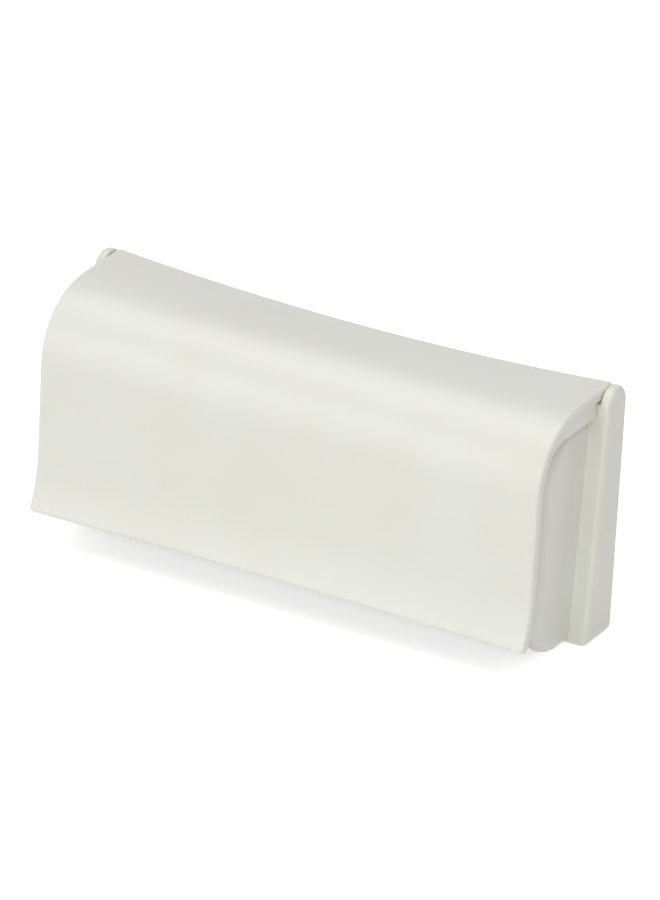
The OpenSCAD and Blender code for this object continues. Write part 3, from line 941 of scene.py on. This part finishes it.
def make_cheek(word, side, cheeks, plate):
    """A cheek: a block with two large front roundings, a rounded rim and two screw bosses."""
    inner_x = CHEEK_HIGH.x - cheeks.thickness
    rear_y = rail_front(0, plate)
    low, high = (inner_x, CHEEK_LOW.y, 0), (CHEEK_HIGH.x, rear_y, CHEEK_HIGH.z)
    cheek = block(f"{word}_cheek_shell", low, high)
    start_edit(cheek)
    pick("verts", lambda v: near(v.co.y, rear_y) and v.co.z > MM)
    bpy.ops.transform.translate(value=(0, rail_front(CHEEK_HIGH.z, plate) - rear_y, 0))
    for z, radius in ((CHEEK_HIGH.z, cheeks.top_r), (0, cheeks.foot_r)):
        pick(
            "edges",
            lambda e: along(e, 0) and near(middle(e).y, CHEEK_LOW.y) and near(middle(e).z, z),
        )
        bpy.ops.mesh.bevel(offset=radius, segments=16)
    for x, radius in ((CHEEK_HIGH.x, cheeks.rim_r), (inner_x, cheeks.inner_rim_r)):
        pick(
            "edges",
            lambda e: all(near(v.co.x, x) for v in e.verts)
            and not all(near(v.co.y, rail_front(v.co.z, plate)) for v in e.verts),
        )
        bpy.ops.mesh.bevel(offset=radius, segments=4, clamp_overlap=False)
    end_edit()
    cover = 0.8 * MM
    for place in screw_places(bpy.context.scene.dispenser_works):
        boss = rod(
            "boss",
            (place.x, SCREWS_LOW.y - cover, place.z),
            (place.x, rail_front(place.z, plate) - FIT, place.z),
            cheeks.boss_r,
        )
        combine(cheek, boss, "UNION")
    if side < 0:
        mirror_x(cheek)
    return dress(cheek, "base", "white_plastic", white_abs(), f"{word}_cheek")


class DISPENSER_OT_cheeks(bpy.types.Operator):
    """Model the two rounded end cheeks"""

    bl_idname = "dispenser.cheeks"
    bl_label = "Cheeks"
    bl_options = {"REGISTER", "UNDO"}

    def execute(self, context):
        for side, word in ((-1, "left"), (1, "right")):
            make_cheek(word, side, context.scene.dispenser_cheeks, context.scene.dispenser_plate)
        return {"FINISHED"}


def screw_places(works):
    """Centres of the right side's two screw heads, lower and upper."""
    x = SCREWS_HIGH.x - works.head_r
    return [
        Vector((x, SCREWS_HIGH.y, z))
        for z in (SCREWS_LOW.z + works.head_r, SCREWS_HIGH.z - works.head_r)
    ]


class DISPENSER_OT_cheek_screws(bpy.types.Operator):
    """Model the countersunk screws with their cross recesses"""

    bl_idname = "dispenser.cheek_screws"
    bl_label = "Cheek Screws"
    bl_options = {"REGISTER", "UNDO"}

    def execute(self, context):
        works = context.scene.dispenser_works
        head_h = works.head_r - works.shank_r
        face_y = SCREWS_HIGH.y
        rim_y = face_y - 0.2 * MM
        screw = rod("screw", (0, rim_y, 0), (0, face_y, 0), works.head_r)
        start_edit(screw)
        pick("faces", lambda f: f.normal.y < -0.9)
        extrude((0, -head_h, 0))
        ratio = works.shank_r / works.head_r
        bpy.ops.transform.resize(value=(ratio, 1, ratio), center_override=(0, 0, 0))
        extrude((0, SCREWS_LOW.y - (rim_y - head_h), 0))
        end_edit()
        arm, slit, depth = 1.2 * MM, 0.22 * MM, 0.9 * MM
        for half in ((arm, slit), (slit, arm)):
            low = (-half[0], face_y - depth, -half[1])
            high = (half[0], face_y + 0.1 * MM, half[1])
            combine(screw, block("recess", low, high), "DIFFERENCE")
        number = 0
        for side in (-1, 1):
            for place in screw_places(works):
                number += 1
                copy = screw.copy()
                copy.data = screw.data.copy()
                copy.name = f"cheek_screw_{number}"
                bpy.context.collection.objects.link(copy)
                copy.data.transform(Matrix.Translation((side * place.x, 0, place.z)))
                dress(copy, "base", "steel", stainless(), "cheek_screws")
        bpy.data.objects.remove(screw)
        return {"FINISHED"}


class DISPENSER_OT_closing_springs(bpy.types.Operator):
    """Wind the two closing springs round the hinge pins"""

    bl_idname = "dispenser.closing_springs"
    bl_label = "Closing Springs"
    bl_options = {"REGISTER", "UNDO"}

    def execute(self, context):
        wire = context.scene.dispenser_works.wire
        rail_z = context.scene.dispenser_plate.rail_top_z
        round_pin, spare = 0.15 * MM, 0.3 * MM
        coil_r = PIN_R + round_pin + wire / 2
        run = SPRING_HIGH.x - SPRING_LOW.x - wire
        for side, word in ((-1, "left"), (1, "right")):
            deselect()
            bpy.ops.mesh.primitive_circle_add(
                vertices=10, radius=wire / 2, location=(SPRING_LOW.x + wire / 2, -coil_r, 0)
            )
            spring = named(f"{word}_spring_wire")
            modify(
                spring,
                "SCREW",
                axis="X",
                angle=-WIRE_TURNS * 2 * math.pi,
                screw_offset=run,
                steps=int(WIRE_TURNS * WIRE_STEPS),
                render_steps=int(WIRE_TURNS * WIRE_STEPS),
            )
            start_edit(spring)
            bpy.ops.mesh.select_all(action="SELECT")
            bpy.ops.transform.translate(value=(0, AXIS_Y, AXIS_Z))
            start_x = SPRING_LOW.x + wire
            pick("edges", lambda e: e.is_boundary and middle(e).x < start_x)
            extrude((0, 0, rail_z + wire / 2 - AXIS_Z))
            bpy.ops.mesh.edge_face_add()
            pick("edges", lambda e: e.is_boundary)
            extrude((0, FLAP_HIGH.y - spare - AXIS_Y, 0))
            bpy.ops.mesh.edge_face_add()
            end_edit()
            if side < 0:
                mirror_x(spring)
            dress(spring, "base", "steel", stainless(), f"{word}_closing_spring")
        return {"FINISHED"}


class DISPENSER_OT_press_roller(bpy.types.Operator):
    """Model the roller's fluted rubber sleeve"""

    bl_idname = "dispenser.press_roller"
    bl_label = "Press Roller Sleeve"
    bl_options = {"REGISTER", "UNDO"}

    def execute(self, context):
        works = context.scene.dispenser_works
        y, z = (SLEEVE_LOW.y + SLEEVE_HIGH.y) / 2, (SLEEVE_LOW.z + SLEEVE_HIGH.z) / 2
        core_low, core_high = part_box("roller_core")
        radius = (SLEEVE_HIGH.z - SLEEVE_LOW.z) / 2
        sleeve = rod(
            "fluted_sleeve",
            (SLEEVE_LOW.x, y, z),
            (SLEEVE_HIGH.x, y, z),
            radius,
            vertices=FLUTES * FLUTE_PARTS,
        )
        start_edit(sleeve)
        step = 2 * math.pi / (FLUTES * FLUTE_PARTS)

        def in_flute(face):
            around = math.atan2(middle(face).z - z, middle(face).y - y)
            return abs(face.normal.x) < 0.1 and int((around + math.pi) / step) % FLUTE_PARTS == 0

        pick("faces", in_flute)
        bpy.ops.mesh.inset(thickness=0.1 * MM, use_individual=True)
        bpy.ops.transform.shrink_fatten(value=-works.flute_depth)
        end_edit()
        bore = rod(
            "bore",
            (SLEEVE_LOW.x - MM, y, z),
            (SLEEVE_HIGH.x + MM, y, z),
            (core_high.z - core_low.z) / 2,
        )
        combine(sleeve, bore, "DIFFERENCE")
        ease(sleeve, 0.08 * MM)
        dress(sleeve, "roller", "grey_rubber", grey_rubber(), "roller_sleeve", angle=30)
        return {"FINISHED"}


class DISPENSER_OT_working_parts(bpy.types.Operator):
    """Give the CAD solids that stay their finishes"""

    bl_idname = "dispenser.working_parts"
    bl_label = "Finish the Working Parts"
    bl_options = {"REGISTER", "UNDO"}

    def execute(self, context):
        finishes = {
            "anvil_strip": grey_rubber(),
            "left_hinge_pin": stainless(),
            "right_hinge_pin": stainless(),
            "roller_axle": stainless(),
            "roller_core": acetal(),
            "left_bush": acetal(),
            "right_bush": acetal(),
        }
        for name, material in finishes.items():
            node = frame["nodes"][name]
            for slot in node.material_slots:
                slot.material = material
        return {"FINISHED"}


# Stage


def seen_rays(tree):
    """A socket that is 1 for camera, glossy and transmission rays and 0 for the light's others."""
    ray = add_node(tree, "ShaderNodeLightPath")
    seen = ray.outputs["Is Camera Ray"]
    for other in ("Is Glossy Ray", "Is Transmission Ray"):
        seen = add_node(
            tree,
            "ShaderNodeMath",
            links={0: seen, 1: ray.outputs[other]},
            operation="MAXIMUM",
        ).outputs[0]
    return seen


def white_to_the_eye(tree, lit, strength):
    """Adds white light of that strength to a surface as it is seen, without lighting others."""
    glow = add_node(
        tree, "ShaderNodeMath", {1: strength}, {0: seen_rays(tree)}, operation="MULTIPLY"
    )
    light = add_node(tree, "ShaderNodeEmission", links={"Strength": glow.outputs[0]})
    both = add_node(tree, "ShaderNodeAddShader", links={0: lit, 1: light.outputs[0]})
    return both.outputs[0]


def make_floor(finish, stage):
    """A pale floor that reads as white and keeps the object's soft shadow."""
    deselect()
    bpy.ops.mesh.primitive_plane_add(size=FLOOR_WIDTH, location=(0, 0, -HAIR))
    floor = named("studio_floor")
    material, tree, output = blank_material("pale_floor")
    matt = {"Base Color": finish.floor, "Roughness": 0.9, "Specular IOR Level": 0.0}
    lit = add_node(tree, "ShaderNodeBsdfPrincipled", matt)
    shown = white_to_the_eye(tree, lit.outputs[0], stage.floor_lift)
    tree.links.new(shown, output.inputs["Surface"])
    floor.data.materials.append(material)


def make_sky(stage):
    """An even white sky that lights softly and is seen as plain white."""
    world = bpy.data.worlds.new("studio_sky")
    bpy.context.scene.world = world
    world.use_nodes = True
    tree = world.node_tree
    tree.nodes.clear()
    strength = between(tree, stage.sky, 1.0, seen_rays(tree))
    white = {"Color": (1, 1, 1, 1)}
    sky = add_node(tree, "ShaderNodeBackground", white, {"Strength": strength})
    add_node(tree, "ShaderNodeOutputWorld", links={"Surface": sky.outputs[0]})


def softbox(name, direction, width, power):
    """A square area lamp that faces the object from a direction."""
    place = Vector(direction).normalized() * SOFTBOX_AWAY
    deselect()
    bpy.ops.object.light_add(
        type="AREA", location=place, rotation=place.to_track_quat("Z", "Y").to_euler()
    )
    lamp = bpy.context.active_object
    lamp.name = name
    lamp.data.size = width
    lamp.data.energy = power


def make_camera(stage):
    """The camera, at the photograph's viewing angle."""
    turned = (
        Matrix.Rotation(stage.azimuth, 4, "Z")
        @ Matrix.Rotation(math.pi / 2 - stage.elevation, 4, "X")
        @ Matrix.Rotation(stage.roll, 4, "Z")
    )
    away = turned @ Vector((0, 0, stage.distance))
    deselect()
    bpy.ops.object.camera_add(location=Vector(stage.aim) + away, rotation=turned.to_euler())
    camera = bpy.context.active_object
    camera.name = "photo_camera"
    camera.data.lens = stage.lens
    camera.data.clip_start = 0.01
    bpy.context.scene.camera = camera


class DISPENSER_OT_stage(bpy.types.Operator):
    """Set the pale floor, the soft lights and the camera"""

    bl_idname = "dispenser.stage"
    bl_label = "Stage, Lights and Camera"
    bl_options = {"REGISTER", "UNDO"}

    def execute(self, context):
        stage = context.scene.dispenser_stage
        make_floor(context.scene.dispenser_finish, stage)
        make_sky(stage)
        for name, (direction, width) in SOFTBOXES.items():
            softbox(f"{name}_softbox", direction, width, getattr(stage, name))
        make_camera(stage)
        context.scene.view_settings.view_transform = "Standard"
        return {"FINISHED"}


class DISPENSER_PT_parts(bpy.types.Panel):
    """Sidebar panel that lists the pieces and their sizes"""

    bl_idname = "DISPENSER_PT_parts"
    bl_label = "Toothpaste Dispenser"
    bl_space_type = "VIEW_3D"
    bl_region_type = "UI"
    bl_category = "Dispenser"

    def draw(self, context):
        for operator in OPERATORS:
            self.layout.operator(operator.bl_idname)
        for name, group in GROUPS.items():
            box = self.layout.box()
            for prop in group.__annotations__:
                box.prop(getattr(context.scene, name), prop)


OPERATORS = (
    DISPENSER_OT_stage,
    DISPENSER_OT_front_flap,
    DISPENSER_OT_flap_arms,
    DISPENSER_OT_back_plate,
    DISPENSER_OT_cheeks,
    DISPENSER_OT_cheek_screws,
    DISPENSER_OT_closing_springs,
    DISPENSER_OT_press_roller,
    DISPENSER_OT_working_parts,
)


def register():
    """Makes the pieces' operators, the sizes and the panel known to Blender."""
    for kind in (*GROUPS.values(), *OPERATORS, DISPENSER_PT_parts):
        bpy.utils.register_class(kind)
    for name, group in GROUPS.items():
        setattr(bpy.types.Scene, name, bpy.props.PointerProperty(type=group))


def unregister():
    """Takes back what register made."""
    for name in GROUPS:
        delattr(bpy.types.Scene, name)
    for kind in reversed((*GROUPS.values(), *OPERATORS, DISPENSER_PT_parts)):
        bpy.utils.unregister_class(kind)


def main():
    """Registers the add-on and makes every piece in turn."""
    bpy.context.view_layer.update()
    register()
    bpy.ops.dispenser.stage()
    bpy.ops.dispenser.front_flap()
    bpy.ops.dispenser.flap_arms()
    bpy.ops.dispenser.back_plate()
    bpy.ops.dispenser.cheeks()
    bpy.ops.dispenser.cheek_screws()
    bpy.ops.dispenser.closing_springs()
    bpy.ops.dispenser.press_roller()
    bpy.ops.dispenser.working_parts()


if __name__ == "__main__":
    main()
